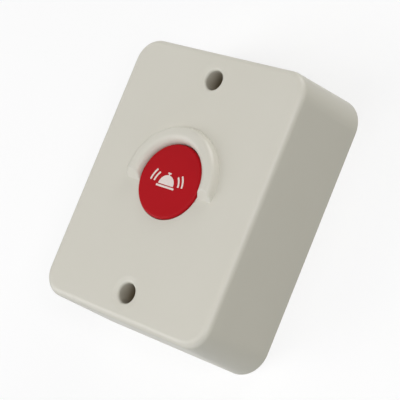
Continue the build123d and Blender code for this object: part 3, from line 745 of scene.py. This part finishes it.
# Pad-printed ink: nearly white, satin, and thin enough in places for the red to tint it
inkSet = dict(
    tone="#E6DCD5", drift="#DCCCC5", cloud=0.9 * mm, roughness=(0.4, 0.55),
    grain=0.2 * mm, depth=0.004 * mm,  # drawn coarser than the real 0.05 mm
    shader={"IOR": 1.5, "Specular IOR Level": 0.4},
)


def soundArc(radius, first, last, settings):
    # a thin flat strip that is spun about the middle of the bell's foot
    start = math.radians(first)
    turn = math.radians(last - first)
    length = settings["arcStart"] * settings["stroke"]
    slack = length / 4 / radius
    bpy.ops.mesh.primitive_plane_add(size=1, rotation=(0, 0, start),
                                     location=(radius * math.cos(start), radius * math.sin(start), 0))
    bpy.context.object.scale = (settings["stroke"], length, 1)
    startEdit()
    pick("EDGE", lambda point: math.atan2(point.y, point.x) > start + slack)
    bpy.ops.mesh.spin(steps=settings["arcSteps"], angle=-turn, center=(0, 0, 0), axis=(0, 0, 1))
    pick("VERT", lambda point: not start - slack < math.atan2(point.y, point.x) < start + turn + slack)
    bpy.ops.mesh.bevel(affect="VERTICES", offset=settings["corner"], segments=settings["arcCornerSteps"])
    return endEdit()


def addSign(settings):
    deselectAll()
    foot = -(settings["footHeight"] + settings["gap"])
    head = settings["domeRadius"] + settings["stem"] + settings["shoulder"] + settings["knobHeight"]

    # the dome is a disc cut in half, with the knob drawn up out of its top edge
    bpy.ops.mesh.primitive_circle_add(vertices=settings["domePoints"], radius=settings["domeRadius"],
                                      fill_type="NGON", rotation=(0, 0, math.pi / settings["domePoints"]))
    startEdit()
    bpy.ops.mesh.bisect(plane_co=(0, 0, 0), plane_no=(0, 1, 0), clear_inner=True)
    edge = 2 * settings["domeRadius"] * math.sin(math.pi / settings["domePoints"])
    pick("EDGE", lambda point: abs(point.x) < edge / 4 and point.y > settings["domeRadius"] / 2)
    extrudeBy(0, settings["stem"], 0)
    extrudeBy(0, settings["shoulder"], 0)
    bpy.ops.transform.resize(value=(settings["knobWidth"] / edge, 1, 1), center_override=(0, head, 0))
    extrudeBy(0, settings["knobHeight"], 0)
    pieces = [endEdit()]

    # the foot is a bar with rounded ends
    bpy.ops.mesh.primitive_plane_add(size=1, location=(0, foot + settings["footHeight"] / 2, 0))
    bpy.context.object.scale = (settings["footWidth"], settings["footHeight"], 1)
    startEdit()
    bpy.ops.mesh.bevel(affect="VERTICES", offset=settings["corner"], segments=settings["footCornerSteps"])
    pieces.append(endEdit())

    for radius, first, last in settings["arcs"]:
        pieces.append(soundArc(radius, first, last, settings))
        pieces.append(soundArc(radius, 180 - last, 180 - first, settings))

    # all of it is lifted to the ink's thickness and set down on the cap
    sign = joinPieces(pieces, "call_sign")
    extrudeBy(0, 0, settings["ink"])
    pickAll()
    bpy.ops.mesh.normals_make_consistent(inside=False)
    bpy.ops.transform.translate(value=(settings["middle"][0], settings["middle"][1] - (foot + head) / 2,
                                       corners("button_cap")[1].z))
    endEdit()
    sign.data.materials.append(startFinish("white pad-printing ink", inkSet)[0])
    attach(sign, "button")


addSign(signSet)
say("call sign")


# Board work: tin at every lead and leg, copper tracks under the mask, and printed outlines

boardLow, boardHigh = corners("circuit_board")

# Tinned pads and solder: bright, rounded by its own flow, with a slightly frosted skin
solderSet = dict(
    tone="#CFCFCD", drift="#BDBDBB", cloud=0.8 * mm, roughness=(0.16, 0.34),
    grain=0.25 * mm, depth=0.01 * mm,  # drawn coarser than the real 0.05 mm
    shader={"Metallic": 1.0},
)
solder = startFinish("tin solder on tinned pads", solderSet)[0]

# The mask looks paler green where it lies over copper
trackFinishSet = dict(boardSet, tone="#2F7A47", drift="#35824D", grain=0.4 * mm, depth=0.004 * mm)

# Screen-printed outlines: matt white, thin, a little uneven
legendFinishSet = dict(
    tone="#E9EAE4", drift="#D6DAD0", cloud=0.6 * mm, roughness=(0.5, 0.65),
    grain=0.15 * mm, depth=0.004 * mm,  # drawn coarser than the real 0.05 mm
    shader={"IOR": 1.5},
)


def finishPiece(pieces, name, finish):
    # joins what belongs together, turns all faces outwards, gives it its finish and its body
    piece = joinPieces(pieces, name)
    bpy.ops.mesh.normals_make_consistent(inside=False)
    endEdit()
    piece.data.materials.append(finish)
    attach(piece, "housing")


def copyTo(model, places):
    # copies with their own mesh, moved in the mesh so that each object stays at the origin
    copies = []
    for place in places:
        deselectAll()
        model.select_set(True)
        bpy.context.view_layer.objects.active = model
        bpy.ops.object.duplicate()
        bpy.context.object.location = place
        applyPlace()
        copies.append(bpy.context.object)
    bpy.data.objects.remove(model)
    return copies


# Coiled springs of their own in place of the rigid ones; the real springs shorten when the button goes down
coilSet = dict(
    sides=14, stepsPerTurn=40,
    coils=dict(
        return_coil=dict(node="return_spring", joint="button_press", wire=0.8 * mm, turns=6.0),
        switch_coil=dict(node="switch_spring", joint="plunger_press", wire=0.35 * mm, turns=3.5),
    ),
)


def addCoil(name, own, settings):
    # a ring as thick as the wire, wound up between the spring's two seats and closed at its ends
    low, high = corners(own["node"])
    wire, turns = own["wire"], own["turns"]
    deselectAll()
    bpy.ops.mesh.primitive_circle_add(vertices=settings["sides"], radius=wire / 2,
                                      rotation=(math.pi / 2, 0, 0),
                                      location=((high.x - low.x - wire) / 2, 0, 0))
    applyPlace()
    bpy.ops.object.modifier_add(type="SCREW")
    screw = bpy.context.object.modifiers[-1]
    screw.angle = 2 * math.pi * turns
    screw.screw_offset = high.z - low.z - wire
    screw.steps = round(settings["stepsPerTurn"] * turns)
    screw.render_steps = screw.steps
    bpy.ops.object.modifier_apply(modifier=screw.name)
    startEdit()
    bpy.ops.mesh.fill_holes(sides=settings["sides"])
    pickAll()
    bpy.ops.transform.translate(value=(*middle(own["node"]).xy, low.z + wire / 2))
    coil = endEdit()
    bpy.ops.object.shade_smooth_by_angle(angle=smoothAngle)
    finishPiece([coil], name, bpy.data.materials["drawn spring steel wire"])
    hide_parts(own["node"])
    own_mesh(coil)


for coilName, coilSettings in coilSet["coils"].items():
    addCoil(coilName, coilSettings, coilSet)
say("springs")


# Where the parts' leads stand, as the CAD model has them
leadSet = dict(
    terminalWidth=0.7 * mm, contactThickness=0.4 * mm,
    canCircle=5.0 * mm, antennaSpan=26.0 * mm,
    legs=4, legPitch=2.54 * mm, transistorPitch=1.5 * mm, partPitch=5.0 * mm,
)


def terminalSides(leads):
    low, high = corners("switch_terminals")
    half = leads["terminalWidth"] / 2
    return low.x + half, high.x - half, low.y + half, high.y - half


def legRows(leads):
    first = middle("encoder_chip").y - leads["legPitch"] * (leads["legs"] - 1) / 2
    return [first + leads["legPitch"] * leg for leg in range(leads["legs"])]


jointSet = dict(
    points=24,
    padRadius=1.15 * mm, padHeight=0.04 * mm,
    # height and radius, up the lead
    rise=((0, 0.9 * mm), (0.18 * mm, 0.66 * mm), (0.45 * mm, 0.54 * mm), (0.8 * mm, 0.47 * mm)),
)


def solderJoint(side, settings):
    # a pad whose top is drawn up round the lead in narrowing steps; side is 1 above the board, -1 below
    bpy.ops.mesh.primitive_circle_add(vertices=settings["points"], radius=settings["padRadius"],
                                      fill_type="NGON")
    startEdit()
    extrudeBy(0, 0, side * settings["padHeight"])
    height, radius = 0, settings["padRadius"]
    for nextHeight, nextRadius in settings["rise"]:
        bpy.ops.mesh.inset(thickness=radius - nextRadius)
        bpy.ops.transform.translate(value=(0, 0, side * (nextHeight - height)))
        height, radius = nextHeight, nextRadius
    joint = endEdit()
    bpy.ops.object.shade_smooth_by_angle(angle=smoothAngle)
    return joint


def addSolderJoints(leads, settings):
    left, right, near, far = terminalSides(leads)
    below = [(x, y) for x in (left, right) for y in (near, far)]
    can = middle("resonator_can")
    for third in range(3):
        turn = 2 * math.pi * third / 3
        below.append((can.x + leads["canCircle"] / 2 * math.cos(turn),
                      can.y + leads["canCircle"] / 2 * math.sin(turn)))
    below += [(side * leads["antennaSpan"] / 2, middle("antenna_coil").y) for side in (-1, 1)]
    contact = middle("battery_contact")
    above = [(contact.x, contact.y),
             (corners("battery_spring")[0].x + leads["contactThickness"] / 2, contact.y)]
    joints = copyTo(solderJoint(-1, settings), [(x, y, boardLow.z) for x, y in below])
    joints += copyTo(solderJoint(1, settings), [(x, y, boardHigh.z) for x, y in above])
    finishPiece(joints, "solder_joints", solder)


filletSet = dict(
    reach=0.4 * mm, sink=0.75,
    chipLegWidth=0.5 * mm, tabWidth=1.5 * mm, legRise=0.22 * mm,
    partRise=0.6,  # share of the part's height that the solder climbs
    counts=dict(resistors=6, ceramic_capacitors=4),
)


def solderFillet(side, width, rise, settings):
    # a block whose outer top edge has flowed down to the board; side is the way it slopes along X
    bpy.ops.mesh.primitive_cube_add(size=1, location=(side * settings["reach"] / 2, 0, rise / 2))
    bpy.context.object.scale = (settings["reach"], width, rise)
    startEdit()
    pick("EDGE", lambda point: point.z > 0.9 * rise and side * point.x > 0.9 * settings["reach"])
    bpy.ops.transform.translate(value=(0, 0, -rise * settings["sink"]))
    return endEdit()


def addSolderFillets(leads, settings):
    fillets = []

    def fillRow(side, width, rise, places):
        fillets.extend(copyTo(solderFillet(side, width, rise, settings),
                              [(x, y, boardHigh.z) for x, y in places]))

    for node, count in settings["counts"].items():
        low, high = corners(node)
        for side, outer in ((-1, low.x), (1, high.x)):
            fillRow(side, high.y - low.y, settings["partRise"] * (high.z - low.z),
                    [(outer - side * step * leads["partPitch"], middle(node).y) for step in range(count)])
    low, high = corners("encoder_chip")
    for side, outer in ((-1, low.x), (1, high.x)):
        fillRow(side, settings["chipLegWidth"], settings["legRise"], [(outer, y) for y in legRows(leads)])
    low, high = corners("rf_transistor")
    y = middle("rf_transistor").y
    fillRow(-1, settings["chipLegWidth"], settings["legRise"],
            [(low.x, y + step * leads["transistorPitch"]) for step in (-1, 0, 1)])
    fillRow(1, settings["tabWidth"], settings["legRise"], [(high.x, y)])
    finishPiece(fillets, "solder_fillets", solder)


addSolderJoints(leadSet, jointSet)
addSolderFillets(leadSet, filletSet)
say("solder")


# Copper tracks: flat strips that turn at right angles, from part to part
trackSet = dict(
    width=0.6 * mm, height=0.035 * mm,
    legGap=0.1 * mm,  # they start this far outside the chip's legs
    edgeGap=2.6 * mm,  # from the outermost ones to the board's side
    nextPad=2.9 * mm,  # from a resistor's outer end to its other pad
    storePad=3.2 * mm,  # from the storage capacitor's middle to its pads
    capacitorEnd=8.4 * mm,  # the outer pads of the small capacitors
    leftLane=9.7 * mm, rightLane=12 * mm, farLane=14 * mm,  # how far from the middle some of them run
    # short ones that join neighbours in a row, by their middles and half lengths
    bridges=dict(resistors=((-5 * mm, 5 * mm, 10 * mm), 1.3 * mm),
                 ceramic_capacitors=((-5 * mm, 5 * mm), 1.8 * mm)),
    # where the ones below the board go through it
    vias=dict(button=(-14 * mm, 13 * mm), ground=(-19 * mm, -12 * mm),
              antenna=(-22 * mm, 8 * mm), chip=(4 * mm, -12 * mm)),
    viaRadius=0.55 * mm, viaPoints=24,
)


def routesAbove(leads, settings):
    cell, transistor = middle("battery_contact"), middle("rf_transistor")
    trimmer, store = middle("trimmer_capacitor"), middle("storage_capacitor")
    rowY, smallY, antennaY = (middle(node).y for node in ("resistors", "ceramic_capacitors", "antenna_coil"))
    legs = legRows(leads)
    chipLeft = corners("encoder_chip")[0].x - settings["legGap"]
    chipRight = corners("encoder_chip")[1].x + settings["legGap"]
    left, right = (corner.x for corner in corners("rf_transistor"))
    lower, upper = (transistor.y + side * leads["transistorPitch"] for side in (-1, 1))
    outer = corners("resistors")[1].x
    inner = settings["nextPad"] - outer
    margin = boardHigh.x - settings["edgeGap"]
    span, smallX = leads["antennaSpan"] / 2, settings["capacitorEnd"]
    leftLane, rightLane = settings["leftLane"], settings["rightLane"]
    storeLeft, storeRight = (store.x + side * settings["storePad"] for side in (-1, 1))
    routes = [
        [(chipRight, legs[0]), (-outer, legs[0]), (-outer, rowY)],
        [(chipRight, legs[1]), (inner, legs[1]), (inner, rowY)],
        [(chipRight, legs[2]), (-leftLane, legs[2]), (-leftLane, smallY), (-smallX, smallY)],
        [(chipRight, legs[3]), (-span, legs[3]), (-span, antennaY)],
        [(chipLeft, legs[0]), (-margin, legs[0]), (-margin, store.y), (storeLeft, store.y)],
        [(storeRight, store.y), (-cell.x, store.y), (-cell.x, cell.y)],
        [(left, lower), (cell.x, lower), (cell.x, cell.y)],
        [(left, upper), (span, upper), (span, antennaY)],
        [(right, transistor.y), (margin, transistor.y), (margin, trimmer.y), (trimmer.x, trimmer.y)],
        [(trimmer.x, trimmer.y), (trimmer.x, rowY), (outer, rowY)],
        [(smallX, smallY), (rightLane, smallY), (rightLane, transistor.y), (left, transistor.y)],
    ]
    for node, (places, half) in settings["bridges"].items():
        routes += [[(x - half, middle(node).y), (x + half, middle(node).y)] for x in places]
    return routes


def routesBelow(leads, settings):
    left, right, near, far = terminalSides(leads)
    can, antennaY = middle("resonator_can"), middle("antenna_coil").y
    radius = leads["canCircle"] / 2
    canRight, canLeft = can.x + radius, can.x - radius / 2
    canNear, canFar = (can.y + side * radius * math.sqrt(3) / 2 for side in (-1, 1))
    span, lane, vias = leads["antennaSpan"] / 2, settings["farLane"], settings["vias"]
    return [
        [(left, far), (vias["button"][0], far), vias["button"]],
        [(left, near), (left, vias["ground"][1]), vias["ground"]],
        [(right, far), (right, lane), (canLeft, lane), (canLeft, canFar)],
        [(right, near), (lane, near), (lane, canNear), (canLeft, canNear)],
        [(span, antennaY), (canRight, antennaY), (canRight, can.y)],
        [(-span, antennaY), (vias["antenna"][0], antennaY), vias["antenna"]],
        [(canRight, can.y), (canRight, vias["chip"][1]), vias["chip"]],
    ]


def layTrack(route, side, settings):
    # a square at the start, whose edge is drawn out to each next point and on over the corner
    width = settings["width"]
    here = Vector(route[0])
    bpy.ops.mesh.primitive_plane_add(size=width, location=(here.x, here.y, 0))
    startEdit()
    for point in route[1:]:
        way = Vector(point) - here
        ahead = way.normalized()
        edge = here + ahead * width / 2
        pick("EDGE", lambda spot: (spot.xy - edge).length < width / 8)
        for length in (way.length - width, width):
            extrudeBy(ahead.x * length, ahead.y * length, 0)
        here = Vector(point)
    pickAll()
    extrudeBy(0, 0, side * settings["height"])
    pickAll()
    bpy.ops.transform.translate(value=(0, 0, boardHigh.z if side > 0 else boardLow.z))
    return endEdit()


def addVia(place, settings):
    # a bare tinned pad where a track below the board goes through to the other side
    bpy.ops.mesh.primitive_circle_add(vertices=settings["viaPoints"], radius=settings["viaRadius"],
                                      fill_type="NGON", location=(place[0], place[1], boardLow.z))
    startEdit()
    extrudeBy(0, 0, -2 * settings["height"])
    bpy.ops.mesh.inset(thickness=settings["viaRadius"] / 2)
    bpy.ops.transform.translate(value=(0, 0, settings["height"]))
    return endEdit()


tracks = [layTrack(route, 1, trackSet) for route in routesAbove(leadSet, trackSet)]
tracks += [layTrack(route, -1, trackSet) for route in routesBelow(leadSet, trackSet)]
finishPiece(tracks, "board_tracks", startFinish("green solder mask over copper", trackFinishSet)[0])
finishPiece([addVia(place, trackSet) for place in trackSet["vias"].values()], "board_vias", solder)
say("tracks")


# Printed outlines round the parts, each a thin raised frame or ring
legendSet = dict(
    line=0.2 * mm, height=0.02 * mm, margin=0.5 * mm, points=64,
    shapes=dict(encoder_chip="frame", rf_transistor="frame", storage_capacitor="frame", resonator_can="ring",
                trimmer_capacitor="ring", spring_washer="ring", resistors="frame",
                ceramic_capacitors="frame"),
)


def printOutline(node, shape, settings):
    low, high = corners(node)
    size = high - low
    grow = 2 * settings["margin"]
    place = ((low.x + high.x) / 2, (low.y + high.y) / 2, boardHigh.z)
    if shape == "ring":
        bpy.ops.mesh.primitive_circle_add(vertices=settings["points"], radius=(size.x + grow) / 2,
                                          fill_type="NGON", location=place)
    else:
        bpy.ops.mesh.primitive_plane_add(size=1, location=place)
        bpy.context.object.scale = (size.x + grow, size.y + grow, 1)
    startEdit()
    bpy.ops.mesh.inset(thickness=settings["line"])
    bpy.ops.mesh.delete(type="FACE")
    pickAll()
    extrudeBy(0, 0, settings["height"])
    return endEdit()


finishPiece([printOutline(node, shape, legendSet) for node, shape in legendSet["shapes"].items()],
            "board_outlines", startFinish("white screen-printed ink", legendFinishSet)[0])
say("outlines")
